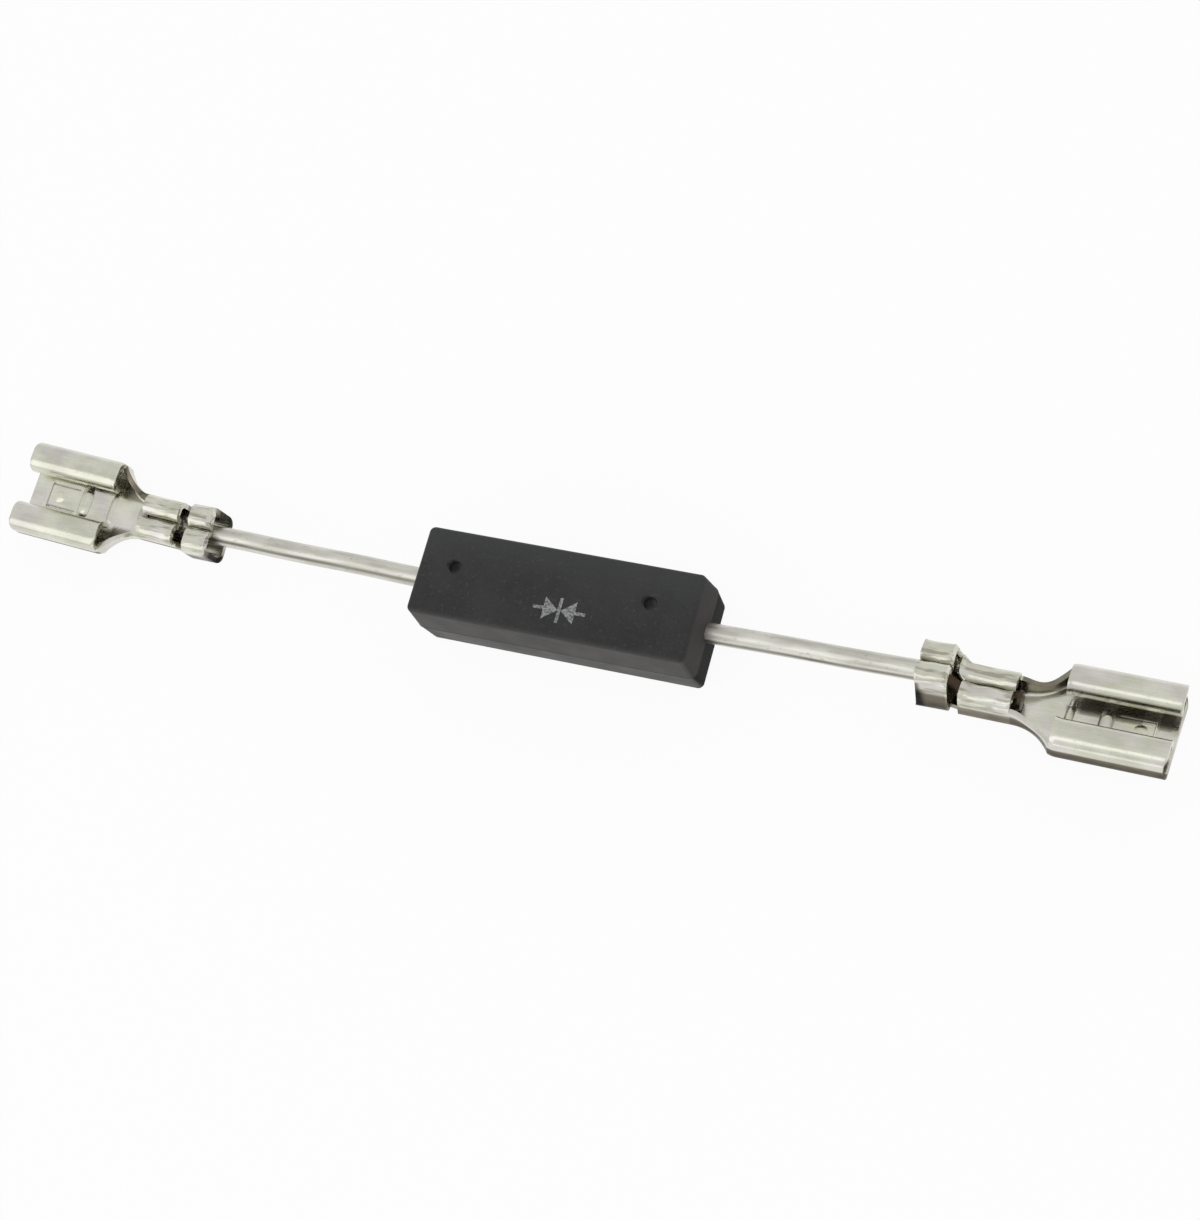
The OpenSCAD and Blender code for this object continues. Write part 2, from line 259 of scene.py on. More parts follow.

# %% [markdown]
# ## The block's finish
# The block is cast in black epoxy. Its mould was spark eroded, so the skin is a
# fine matte grain with a few pale flecks. Noise gives the grain and the flecks.
# Over them lie coats of painted light and painted shade, each a coat of colour
# over the last: the front is painted lighter, and the top lighter towards the
# back; the ends are painted lighter, and black with painted shade below the
# leads; and a painted shadow lies as a dark crescent in each ejector mark. The
# surface is rougher where most of these coats lie.

# %% Moulded epoxy
lead_h = 3.25
mark_r, mark_deep, mark_span, mark_shift, mark_back = 0.5, 0.25, 15.2, -0.3, 0.5
# Where painted light and painted shade lie on the block: the front, the back of the top, the ends,
# the ends below the leads, and a painted shadow in each ejector mark.
front_rim, front_side = -3.1, -3.35
sheen_from, sheen_to = -0.5, 3.4
end_rim, end_side = 10.6, 10.85
low_from, low_to = lead_h + 0.1, lead_h - 0.3
# Place and size of the painted shadow in each ejector mark.
shadow_left, shadow_back, shadow_ragged, shadow_grain = 0.25, 0.12, 0.35, 0.5
shadow_rim, shadow_core = 1.1 * mark_r, 0.5 * mark_r
# Colours of the grain and the flecks, then of painted light and of painted shade.
JET, COAL = (0.0085, 0.0085, 0.0095, 1), (0.024, 0.024, 0.025, 1)
FLECK, BACK_SHEEN = (0.055, 0.055, 0.054, 1), (0.042, 0.044, 0.046, 1)
FRONT_LIGHT, END_LIGHT = (0.068, 0.063, 0.057, 1), (0.050, 0.044, 0.042, 1)
DEEP_SHADE = (0.002, 0.002, 0.002, 1)


def painted_mark_shadow(f, x, y, side):
    """A ragged painted shadow, a little to the left of an ejector mark and behind its middle."""
    along = x - (mark_shift + side * mark_span / 2 - shadow_left)
    across = y - (mark_back + shadow_back)
    ragged = along * along + across * across + shadow_ragged * f.noise(shadow_grain) - shadow_ragged / 2
    return ragged.step(shadow_rim ** 2, shadow_core ** 2)


def moulded_epoxy():
    f = Finish("moulded_epoxy")
    x, y, z = f.axis("X"), f.axis("Y"), f.axis("Z")
    grain = f.noise(0.16, detail=3.0, rough=0.6)
    patches = f.noise(2.6, detail=3.0)
    fleck = f.noise(0.34, detail=1.0).step(0.62, 0.72)
    # Painted sheen: the top is lighter towards the back.
    back_sheen = y.step(sheen_from, sheen_to)
    # Painted light: the front is lighter.
    painted_light = y.step(front_rim, front_side)
    # Painted light on the ends, which are also rougher, and painted shade on them below the leads.
    end_faces = (x * x).step(end_rim ** 2, end_side ** 2)
    low = end_faces * z.step(low_from, low_to)
    # Painted shadow: a dark crescent in each ejector mark.
    mark_shadow = painted_mark_shadow(f, x, y, -1) + painted_mark_shadow(f, x, y, 1)
    black = f.tint((0.5 * grain + 0.7 * patches).step(0.35, 0.85), JET, COAL)
    colour = f.layers(black, (0.35 * fleck, FLECK), (0.5 * back_sheen, BACK_SHEEN), (0.5 * painted_light, FRONT_LIGHT),
                      (0.6 * end_faces, END_LIGHT), (0.9 * low + 0.75 * mark_shadow, DEEP_SHADE))
    wear = 0.08 * painted_light + 0.3 * end_faces + 0.2 * low + 0.3 * mark_shadow
    return f.surface(Base_Color=colour, Roughness=patches.step(0.3, 0.7, 0.44, 0.54) + wear,
                     IOR=1.5, Specular_IOR_Level=0.4,
                     Normal=f.bump(grain + 0.6 * fleck, depth=0.012))


epoxy = moulded_epoxy()

# %% [markdown]
# ## The block
# The mould opens at the level of the leads. Both halves of the block lean in
# from there, so that they come out of the mould, and a hair of flash is left
# all round. Level by level the outline is a rectangle with round corners, so
# the block is a skin over such rings.

# %% Block
block_l, block_w, block_t = 22.0, 7.1, 6.5
draft_in, corner_r, edge_r = 0.22, 0.65, 0.35
flash_out, flash_half = 0.015, 0.04
corner_steps, edge_steps = 8, 6
ink_t = 0.01


def spread(a, b, count):
    """Count + 1 even steps from a to b."""
    return [a + (b - a) * k / count for k in range(count + 1)]


def skin(rings):
    """Points and faces of a closed skin over rings of points, from the first ring to the last."""
    n = len(rings[0])
    points = [p for ring in rings for p in ring]
    faces = [[i * n + j, i * n + (j + 1) % n, (i + 1) * n + (j + 1) % n, (i + 1) * n + j]
             for i in range(len(rings) - 1) for j in range(n)]
    last = (len(rings) - 1) * n
    return points, faces + [list(range(n - 1, -1, -1)), list(range(last, last + n))]


def rounded_ring(inset, z):
    """The block's outline at one level, drawn in by inset."""
    half_l, half_w = block_l / 2 - inset, block_w / 2 - inset
    r = max(corner_r - inset, edge_r)
    ring = []
    for quarter, (sx, sy) in enumerate(((1, 1), (-1, 1), (-1, -1), (1, -1))):
        for k in range(corner_steps + 1):
            a = (quarter + k / corner_steps) * pi / 2
            ring.append((sx * (half_l - r) + r * cos(a), sy * (half_w - r) + r * sin(a), z))
    return ring


def half_levels():
    """Inset and height of the rings of the lower half, from the rim of its face to the flash."""
    wall_inset = draft_in * (1 - edge_r / lead_h)
    edge = [(wall_inset + edge_r * (1 - sin(a)), edge_r * (1 - cos(a)))
            for a in spread(0, pi / 2, edge_steps)]
    return edge + [(draft_in * flash_half / lead_h, lead_h - flash_half),
                   (-flash_out, lead_h - flash_half / 3)]


levels = half_levels() + [(inset, block_t - ink_t - z) for inset, z in reversed(half_levels())]
block = millimetre_object("block", *skin([rounded_ring(inset, z) for inset, z in levels]))
print("block levels", len(levels))

# %% [markdown]
# ### Marks and inner space
# Pins push the warm block out of its mould, and leave two shallow round marks.
# Inside, the epoxy has flowed round the leads, their heads and the stack of
# dice. A boolean cuts each of these hollows with a plain bar of the size of
# what fills it, so the pieces touch and share no space.

# %% Cut the ejector marks and the inner space
SIDES = {-1: "left", 1: "right"}
lead_r, head_r, head_t = 0.75, 1.5, 0.6
stack_l, die_w = 5.3, 2.2
skew = {-1: 1.0, 1: 0.5}
mark_taper = 0.15
head_x = stack_l / 2
root_x = head_x + head_t / 2
RING = 48


def wire_frame(side):
    """X runs from the middle of the lead's head out along the wire."""
    return (Matrix.Translation((0, 0, lead_h)) @ Matrix.Rotation(pi if side < 0 else 0, 4, "Z")
            @ Matrix.Translation((root_x, 0, 0))
            @ Matrix.Rotation(radians(side * skew[side]), 4, "Z"))


def round_bar(place, start, end, r_start, r_end):
    """Points and faces of a round bar along X of a frame."""
    turns = [2 * pi * k / RING for k in range(RING)]
    return skin([[place @ Vector((x, r * cos(a), r * sin(a))) for a in turns]
                 for x, r in ((start, r_start), (end, r_end))])


def square_bar(start, end, width):
    """The same of a square bar along the middle of the block."""
    h = width / 2
    corners = ((-h, -h), (h, -h), (h, h), (-h, h))
    return skin([[(x, y, lead_h + z) for y, z in corners] for x in (start, end)])


upright = Matrix.Rotation(-pi / 2, 4, "Y")
cuts = [square_bar(-head_x, head_x, die_w)]
for side in SIDES:
    mark = Matrix.Translation((mark_shift + side * mark_span / 2, mark_back, block_t)) @ upright
    cuts.append(round_bar(wire_frame(side), -head_t / 2, head_t / 2, head_r, head_r))
    cuts.append(round_bar(wire_frame(side), 0, block_l / 2, lead_r, lead_r))
    cuts.append(round_bar(mark, -mark_deep, mark_deep,
                          (1 - mark_taper) * mark_r, (1 + mark_taper) * mark_r))
tools = [millimetre_object(f"cut_{number}", *cut) for number, cut in enumerate(cuts)]
for tool in tools:
    modify(block, "BOOLEAN", object=tool, operation="DIFFERENCE", solver="EXACT")
settle(block, sharp=25)
for tool in tools:
    bpy.data.objects.remove(tool)
stand_for(block, "moulded_body", "epoxy_moulding", epoxy)

# %% [markdown]
# ## Frames of the receptacles
# Each receptacle was crimped by hand, so it leans about its wire and turns a
# little where the strip joins the grip to the barrel. A point is given as x
# along the receptacle, y across it and z up to its open side, and one function
# says where that lies on the object.

# %% Receptacle frames
lead_out = {-1: 18.2, 1: 15.6}
lean = {-1: 4.0, 1: -24.0}
turn = {-1: 2.5, 1: -1.5}
grip_l, crimp_slot, barrel_l, neck_l, roll_l = 2.15, 1.2, 3.4, 3.25, 7.9
side_step = 0.25
barrel_x = grip_l + crimp_slot
neck_x = barrel_x + barrel_l
roll_x = neck_x + neck_l
mouth_x = roll_x + roll_l
strip_x = grip_l + crimp_slot / 2


def ease(t):
    """0 up to 1, with a soft start and a soft end."""
    t = min(max(t, 0.0), 1.0)
    return t * t * (3 - 2 * t)


def ramp(value, start, run):
    """0 up to the start, and 1 once the value is a run past it."""
    return ease((value - start) / run)


def buried(side):
    """Length of wire inside the block, from the middle of its head."""
    return (block_l / 2 - root_x) / cos(radians(skew[side]))


def grip_frame(side):
    """X runs out from the end of the grip that faces the block, and Z up to the open side."""
    return (wire_frame(side) @ Matrix.Translation((buried(side) + lead_out[side], 0, 0))
            @ Matrix.Rotation(radians(side * lean[side]), 4, "X"))


def barrel_frame(side):
    """The same for the barrel and all beyond it, which turn a little at the strip."""
    return (grip_frame(side) @ Matrix.Translation((strip_x, -side_step, 0))
            @ Matrix.Rotation(radians(side * turn[side]), 4, "Z")
            @ Matrix.Translation((-strip_x, 0, 0)))


def placer(side):
    """A function that puts a receptacle's point on the object."""
    grip_place, barrel_place = grip_frame(side), barrel_frame(side)

    def put(x, y, z):
        p = Vector((x, y, z))
        return (grip_place @ p).lerp(barrel_place @ p, ramp(x, grip_l, crimp_slot))

    return put


print("mouths at", [tuple(round(c, 2) for c in placer(side)(mouth_x, 0, 0)) for side in SIDES])

# %% [markdown]
# ## Tin on wire
# The leads are drawn copper wire, dipped in tin. Drawing leaves fine lines
# along the wire and the tin sets in long low runs: noise that is stretched along
# the wire gives both. A painted dark reflection lies in a line low on the front,
# and in the crimp the wire takes a brown painted shade. Both follow the wire, so
# the mesh code paints a number on each point, and the finish reads it.

# %% Tinned wire
WIRE_DARK, WIRE_LIGHT = (0.54, 0.53, 0.47, 1), (0.74, 0.73, 0.665, 1)
# Colours of specks, of the painted dark reflection, and of the painted shade in the crimp.
WIRE_SPECK, WIRE_REFLECTION_DARK = (0.36, 0.34, 0.29, 1), (0.15, 0.14, 0.115, 1)
CRIMP_SHADE = (0.075, 0.055, 0.038, 1)


def tinned_wire():
    f = Finish("tinned_wire")
    lines = f.noise(0.09, stretch=(40, 1, 1))
    runs = f.noise(0.7, stretch=(5, 1, 1))
    specks = f.noise(0.25, stretch=(2, 1, 1)).step(0.60, 0.75)
    # Painted dark reflection low on the front of the wire.
    dark_reflection = (f.painted("dark_reflection") * (0.5 + runs)).step(0.0, 1.0)
    tin = f.tint(runs.step(0.3, 0.7), WIRE_DARK, WIRE_LIGHT)
    colour = f.layers(tin, (0.5 * specks, WIRE_SPECK), (dark_reflection, WIRE_REFLECTION_DARK),
                      (f.painted("crimp_shade"), CRIMP_SHADE))
    return f.surface(Base_Color=colour, Metallic=1.0,
                     Roughness=(0.5 * lines + 0.5 * runs).step(0.3, 0.7, 0.26, 0.42),
                     Normal=f.bump(0.35 * lines + runs, depth=0.02))


wire_tin = tinned_wire()

# %% [markdown]
# ## The leads
# A lead has a flat head inside the block, runs out straight, turns down in the
# grip, is pressed flat in the wire barrel and ends just past it. All of that is
# one skin over rings: a ring is a circle, or two half circles pulled apart
# where the wire is pressed.

# %% Path of the wire
wire_lift, coin_t, wire_past = 0.8, 1.1, 0.5
floor_top = -lead_r - wire_lift
coin_flat = pi * (lead_r ** 2 - (coin_t / 2) ** 2) / coin_t
coin_z = floor_top + coin_t / 2
kink_x = grip_l / 4
down_x = barrel_x + 0.2
up_x, up_run = neck_x - 0.15, 0.5
press_x, press_run = barrel_x - 0.45, 0.6
free_x, free_run = neck_x - 0.1, 0.45
probe = 0.05


def between(a, b, t):
    """From a, where t is 0, to b, where it is 1."""
    return a + (b - a) * t


def wire_height(x):
    """Height of the wire's middle: level, down to the barrel's floor, and up again past it."""
    down, up = ramp(x, kink_x, down_x - kink_x), ramp(x, up_x, up_run)
    return coin_z * down + (-wire_lift - coin_z) * up


def wire_pressed(x):
    """How far the wire is pressed, from 0, round, to 1, as flat as in the barrel."""
    return ramp(x, press_x, press_run) * (1 - ramp(x, free_x, free_run))


def ring_angle(number):
    """The angle of a numbered point round the wire."""
    return 2 * pi * (number % RING + 0.5) / RING


def wire_ring(put, x, r_scale=1.0, sway=0.0):
    """The ring of points round the wire at x, at right angles to its path."""
    pressed = wire_pressed(x)
    r = between(lead_r, coin_t / 2, pressed) * r_scale
    flat = coin_flat * pressed / 2
    pitch = atan2(wire_height(x + probe) - wire_height(x - probe), 2 * probe)
    ring = []
    for a in map(ring_angle, range(RING)):
        y = r * cos(a) + (flat if cos(a) > 0 else -flat) + sway
        z = r * sin(a)
        ring.append(put(x - z * sin(pitch), y, wire_height(x) + z * cos(pitch)))
    return ring


print("pressed wire", round(coin_flat + coin_t, 2), "mm wide,", coin_t, "mm thick")

# %% [markdown]
# ### Rings, sway and painted shade
# No such wire is quite straight, so the bare stretch sways by a few hundredths
# of a millimetre. The head, its fillet and the cut end are short lists of steps
# along the wire, each with the radius there as a share of the full one. The
# brown painted shade in the crimp is set by how far along the wire a point lies,
# and the painted dark reflection low on the front by its angle round the wire.

# %% Leads
HEAD = ((0.0, 0.95), (0.05, 1.0), (head_t - 0.05, 1.0), (head_t, 0.97))
FILLET = ((0.01, 1.12), (0.08, 1.02), (0.2, 1.0))
CUT_END = ((-0.02, 0.97), (0.0, 0.86))
fillet_l, cut_l = 0.3, 0.08
bare_end, bent_start = kink_x - 0.4, kink_x - 0.3
bare_steps, bent_steps = 60, 60
sway_w, sway_turn, sway_fade = 0.025, 0.55, 3
# How much brown painted shade the wire takes in the crimp, per receptacle, and where it starts.
crimp_shade_most, crimp_shade_x, crimp_shade_run = {-1: 0.3, 1: 1.0}, 0.2, 0.5
# Where the painted dark reflection lies round the wire, in degrees.
reflection_most, reflection_at, reflection_reach = 0.75, {-1: 42, 1: 92}, 24


def lead(side):
    """The rings of a lead, from its head in the block to its cut end."""
    put = placer(side)
    start = -buried(side) - lead_out[side] - head_t / 2
    block_end = start + head_t / 2 + buried(side)
    wire_end = neck_x + wire_past
    rings = [wire_ring(put, start + dx, share * head_r / lead_r) for dx, share in HEAD]
    rings += [wire_ring(put, start + head_t + dx, share) for dx, share in FILLET]
    for x in spread(start + head_t + fillet_l, bare_end, bare_steps):
        loose = min(max((x - block_end) / sway_fade, 0), 1) * min(max(-x / sway_fade, 0), 1)
        rings.append(wire_ring(put, x, sway=sway_w * loose * sin(sway_turn * x + side)))
    rings += [wire_ring(put, x) for x in spread(bent_start, wire_end - cut_l, bent_steps)]
    return rings + [wire_ring(put, wire_end + dx, share) for dx, share in CUT_END]


def crimp_shade(side, p):
    """How much brown painted shade the wire takes: from the grip to its cut end, none where it is
    bare.
    """
    x = (grip_frame(side).inverted() @ Vector(p)).x
    return crimp_shade_most[side] * ramp(x, crimp_shade_x, crimp_shade_run)


def dark_reflection(side, number):
    """A painted dark reflection along the front of the wire, low down."""
    a = ring_angle(number)
    tilt = degrees(atan2(-side * cos(a), sin(a)))
    return reflection_most * (1 - ease(abs(tilt - reflection_at[side]) / reflection_reach))


def paint(made, label, values):
    """Leaves a number on each point of a mesh, for a finish to read."""
    made.data.attributes.new(label, "FLOAT", "POINT").data.foreach_set("value", values)


for side, word in SIDES.items():
    points, faces = skin(lead(side))
    made = millimetre_object(f"wire_{word}", points, faces)
    # Painted shade in the crimp, and a painted dark reflection by the angle round the wire.
    paint(made, "crimp_shade", [crimp_shade(side, p) for p in points])
    paint(made, "dark_reflection", [dark_reflection(side, number) for number in range(len(points))])
    settle(made, sharp=40)
    stand_for(made, f"lead_{word}", "tinned_wire", wire_tin)

# %% [markdown]
# ## Tin on sheet
# The receptacles are stamped from tinned strip. Rolling leaves faint lines along
# the strip, the tools leave smudges and the crimp leaves wrinkles. Painted shade,
# brown-olive and then black, darkens the folds and the hollows and stands for the
# dark reflections there. The mesh code paints a number on each point that says how
# much painted shade it takes, once for the outer skin and once for the inner.

# %% Tinned sheet
DARK_COOL, DARK_WARM = (0.61, 0.615, 0.505, 1), (0.63, 0.605, 0.56, 1)
LIGHT_COOL, LIGHT_WARM = (0.77, 0.775, 0.66, 1), (0.78, 0.76, 0.71, 1)
SHEET_SPECK, STREAK, DUST = (0.42, 0.41, 0.34, 1), (0.30, 0.27, 0.20, 1), (0.3, 0.3, 0.26, 1)
# Colours of painted shade: brown-olive where it is thin, black where it is deep.
HALF_SHADE, FULL_SHADE = (0.19, 0.165, 0.125, 1), (0.014, 0.013, 0.011, 1)
wrinkle_high = 9


def tinned_sheet(name, shade_paint, dusty):
    f = Finish(name)
    wrinkles = f.painted("crimped") * f.noise(0.42, stretch=(6, 1, 1))
    lines = f.noise(0.10, stretch=(25, 1, 1))
    smudge = f.noise(1.3, stretch=(1.6, 1, 1), detail=3.0)
    specks = f.noise(0.22).step(0.62, 0.74)
    warm = f.noise(2.2, stretch=(1.5, 1, 1)).step(0.42, 0.62)
    # Painted shade, from the number on each point.
    painted_shade = (f.painted(shade_paint) * (0.75 + 0.5 * smudge)).step(0.05, 1.0)
    tin = f.tint((0.25 * lines + 0.75 * smudge).step(0.32, 0.68),
                 f.tint(warm, DARK_COOL, DARK_WARM), f.tint(warm, LIGHT_COOL, LIGHT_WARM))
    colour = f.layers(tin, (0.25 * specks, SHEET_SPECK),
                      (0.7 * wrinkles.step(0.5, 0.66), STREAK), (dusty, DUST),
                      (painted_shade.step(0.0, 0.55), HALF_SHADE), (painted_shade.step(0.4, 1.0), FULL_SHADE))
    relief = 0.4 * lines + smudge + 0.4 * specks + wrinkle_high * wrinkles
    return f.surface(Base_Color=colour, Metallic=1.0,
                     Roughness=(0.5 * lines + 0.5 * smudge).step(0.3, 0.7, 0.17, 0.29) + 0.2 * painted_shade,
                     Normal=f.bump(relief, depth=0.008))


sheet_out = tinned_sheet("tinned_sheet_out", "shade_out", dusty=0.08)
sheet_in = tinned_sheet("tinned_sheet_in", "shade_in", dusty=0.0)

# %% [markdown]
# ## A stamped blank, folded
# A press makes such a receptacle from a flat blank in one pass: it cuts the
# outline, lifts the lance, presses the rib, rolls the sides and leaves the wings
# to be crimped. The mesh is made the same way. A grid stands for the strip:
# rows run along it, columns across it. One function says where a column lies
# once its row is folded, another says which cells the press has cut away, and
# Solidify gives the sheet its thickness. First come the folded sections.

# %% Sections of the fold
stock = 0.4
floor_low = floor_top - stock
tab_t, roll_half, roll_r, roll_flat, roll_lip, bend_in = 0.8, 3.7, 0.9, 0.6, 0.25, 0.3
barrel_half, barrel_flat, grip_half, grip_flat = 1.75, 0.3, 1.9, 0.6
foot_in, wing_tip, seam, crimp_gap = 0.35, 0.15, 0.08, 0.02
neck_land, neck_dip, shoulder_in, shoulder_reach = 0.15, 0.5, 0.15, 0.6
flare_step = roll_half - barrel_half
flare_l = neck_l - 2 * neck_land
flare_r = (flare_l ** 2 + flare_step ** 2) / (2 * flare_step)


class Section:
    """Half width, bend at the foot, top of the wall, radius and flat of the roll, and lip."""

    def __init__(self, half, bend, top, roll, flat, lip):
        self.sizes = (half, bend, top, roll, flat, lip)
        self.half, self.bend, self.top, self.roll, self.flat, self.lip = self.sizes

    def toward(self, other, t):
        """The section a share t of the way to another."""
        return Section(*(between(a, b, t) for a, b in zip(self.sizes, other.sizes)))


def wings(half, flat, wire_top):
    """A crimped section: two wings that meet over the wire, and press on it with their tips."""
    return Section(half, foot_in + stock, wire_top + crimp_gap + wing_tip,
                   (half - seam / 2 - flat) / 2, flat, wing_tip)


grip = wings(grip_half, grip_flat, lead_r)
barrel = wings(barrel_half, barrel_flat, floor_top + coin_t)
rolls = Section(roll_half, bend_in + stock, floor_top + tab_t + roll_lip,
                roll_r, roll_flat, roll_lip)


def neck_half(x):
    """Half width of the neck, which flares out in a hollow arc."""
    run = min(max(x - neck_x - neck_land, 0), flare_l)
    return barrel_half + flare_r - sqrt(flare_r ** 2 - run ** 2)


def shoulder(x):
    """How far the corner where the neck meets the rolls is rounded off."""
    off = abs(x - neck_x - neck_land - flare_l)
    return shoulder_in * max(0, 1 - off / shoulder_reach) ** 2


def section(x):
    """The folded section at x."""
    if x <= grip_l:
        return grip
    if x < barrel_x:
        return grip.toward(barrel, (x - grip_l) / crimp_slot)
    if x <= neck_x:
        return barrel
    if x < roll_x:
        t = (x - neck_x) / neck_l
        made = barrel.toward(rolls, ease(t))
        top = made.top - neck_dip * sin(pi * t) ** 2
        return Section(neck_half(x) - shoulder(x), made.bend, top, made.roll, made.flat, made.lip)
    return Section(roll_half - shoulder(x), *rolls.sizes[1:])


print("widths over grip, barrel and rolls:", [2 * s.half for s in (grip, barrel, rolls)])

# %% [markdown]
# ### Columns across the strip
# A column is a place across the strip: the part of the fold it lies in, how far
# along that part, and on which hand. The floor's columns follow the edges of
# the lance and its cut. Each round part gets enough columns to look round.

# %% Columns of the grid
lance_w, lance_slot = 1.8, 0.06
rib_half = roll_half - 2 * roll_r - roll_flat
tongue_y, window_y = lance_w / 2, lance_w / 2 + lance_slot
flat_half = rolls.half - rolls.bend
tongue_steps, under_roll = 8, (1.6, 1.95, 2.3, 2.65)
FOLD_STEPS = {"bend": 6, "wall": 4, "rise": 12, "crown": 2, "fall": 12, "lip": 2}

floor_marks = spread(0, tongue_y, tongue_steps) + [window_y, rib_half, *under_roll, flat_half]
one_hand = [("floor", y / flat_half) for y in floor_marks[1:]]
for part, steps in FOLD_STEPS.items():
    one_hand += [(part, t) for t in spread(0, 1, steps)[1:]]
COLUMNS = ([(part, t, -1) for part, t in reversed(one_hand)] + [("floor", 0.0, 1)]
           + [(part, t, 1) for part, t in one_hand])


def fold(s, part, t):
    """Where a column lies across a folded section: y and z of the outer skin."""
    flat, turned = s.half - s.bend, t * pi / 2
    if part == "floor":
        return flat * t, floor_low
    if part == "bend":
        return flat + s.bend * sin(turned), floor_low + s.bend * (1 - cos(turned))
    if part == "wall":
        return s.half, between(floor_low + s.bend, s.top, t)
    if part == "rise":
        return s.half - s.roll * (1 - cos(turned)), s.top + s.roll * sin(turned)
    if part == "crown":
        return s.half - s.roll - s.flat * t, s.top + s.roll
    if part == "fall":
        return s.half - s.roll * (1 + sin(turned)) - s.flat, s.top + s.roll * cos(turned)
    return s.half - 2 * s.roll - s.flat, s.top - s.lip * t


print("columns", len(COLUMNS))

# %% [markdown]
# ### Lance, dimple, rib and stop
# A tongue of the floor, the lance, is cut free on three sides and lifted towards
# the mouth; its round dimple snaps into the hole of the blade. Behind it a low
# rib is pressed up, and a stop that the blade meets. All of these only lift the
# floor, so they are one height that is added to the folded grid.

# %% Features of the floor
lance_root, lance_tip = mouth_x - 4.2, mouth_x - 1.6
window_end = lance_tip + lance_slot
lance_rise = tan(radians(3))
dimple_x, dimple_r, dimple_h = lance_tip - lance_w / 2, 0.4, 0.1
rib_x, rib_run, rib_h = mouth_x - 4.9, 0.35, 0.25
stop_x, stop_run, stop_h = mouth_x - 7.425, 0.15, 0.15
soft_end = 0.7
hair = 0.001
cap_r = (dimple_r ** 2 + dimple_h ** 2) / (2 * dimple_h)


def floor_lift(x, y):
    """How far the floor stands up at a point. Hair is the slack for rounded numbers."""
    y = abs(y)
    lift = 0.0
    if y <= tongue_y + hair and lance_root <= x <= lance_tip + hair:
        lift += (x - lance_root) * lance_rise
        off = sqrt((x - dimple_x) ** 2 + y ** 2)
        if off < dimple_r:
            lift += sqrt(cap_r ** 2 - off ** 2) - (cap_r - dimple_h)
    ends = 1 - ramp(y, rib_half - soft_end, soft_end)
    lift += ends * rib_h * max(0, 1 - ((x - rib_x) / rib_run) ** 2)
    lift += ends * stop_h * (1 - ease(abs(x - stop_x) / stop_run))
    return lift


print("lance lifted", round((lance_tip - lance_root) * lance_rise, 3), "mm at its tip")

# %% [markdown]
# ### Rows along the strip, and what is cut away
# The rows lie close together where the sheet is shaped, and far apart where it
# is plain. The press cuts the wings of the grip from those of the barrel, the
# wings away from the neck, and the slot round the lance. The crimp slots are
# not alike: that of the left receptacle is the wider, and that of the right one
# is narrower at the back than in front.

# %% Rows and cuts
CURLED = ("rise", "crown", "fall", "lip")
# By receptacle, and whether it is at the back: where the crimp slot starts and ends.
slot_ends = {(-1, False): (1.93, 3.6), (-1, True): (1.93, 3.6),
             (1, False): (2.35, 3.15), (1, True): (2.35, 2.75)}
stop_zone, rib_zone = 0.3, 0.5
flare_turn = asin(flare_l / flare_r)


def is_cut(part, hand, y, middle, slot):
    """Whether the press has cut away the cell of the grid with its middle there."""
    if slot[0] < middle < slot[1]:
        return part in CURLED or (part != "floor" and hand < 0)
    if neck_x < middle < roll_x:
        return part in CURLED
    if part == "floor" and lance_root < middle < window_end and y < window_y:
        return y > tongue_y or middle > lance_tip
    return False


def rows(*stretches):
    """The rows of some stretches of the strip, without the first row of each."""
    return [x for start, end, count in stretches for x in spread(start, end, count)[1:]]


ROWS = [0.0] + rows((0, grip_l, 10), (grip_l, barrel_x, 6), (barrel_x, neck_x, 14))
ROWS += [neck_x + neck_land + flare_r * sin(a) for a in spread(0, flare_turn, 14)]
ROWS += [roll_x] + rows((roll_x, stop_x - stop_zone, 1),
                        (stop_x - stop_zone, stop_x + stop_zone, 12),
                        (stop_x + stop_zone, rib_x - rib_zone, 10),
                        (rib_x - rib_zone, rib_x + rib_zone, 10),
                        (rib_x + rib_zone, lance_root, 2), (lance_root, lance_tip, 20))
ROWS += spread(window_end, mouth_x, 8)
print("rows", len(ROWS))

# %% [markdown]
# ### Painted shade on the outer skin
# The outer skin takes no painted shade on the crown of a roll, and painted shade
# low on its wall, where it stands for a dark reflection. The grip is darkest at
# its end. Each part of the fold has an amount of painted shade where it starts
# and one where it ends, and the stretches of the strip change that a little.

# %% Outer fold paint
# How much painted shade each part of the fold takes where it starts and where it ends.
OUT_SHADE = {"floor": (0.2, 0.5), "bend": (0.7, 0.65), "wall": (0.6, 0.0), "rise": (0.0, 0.0),
             "crown": (0.0, 0.0), "fall": (0.0, 0.0), "lip": (0.0, 0.1)}
unshaded_from, unshaded_run = 0.4, 0.45
grip_shade, grip_reach = 0.5, 0.9
barrel_share, left_neck_share = 0.85, 0.3
rim_back, rim_front = 0.5, 0.1


def outer_shade(part, t, x, side, back):
    """How much painted shade a point of the outer skin takes, from 0 to 1."""
    start, end = OUT_SHADE[part]
    depth = between(start, end, ramp(t, unshaded_from, unshaded_run) if part == "wall" else t)
    if x <= grip_l:
        low = part in ("bend", "wall")
        return depth + (grip_shade * (1 - ease(x / grip_reach)) if low else 0)
    if x <= neck_x:
        return barrel_share * depth
    if x >= roll_x:
        return depth
    if part == "wall" and t == 1:
        return rim_back if back else rim_front
    return left_neck_share * depth if side < 0 else depth


print("darkest outer paint", max(max(ends) for ends in OUT_SHADE.values()) + grip_shade)

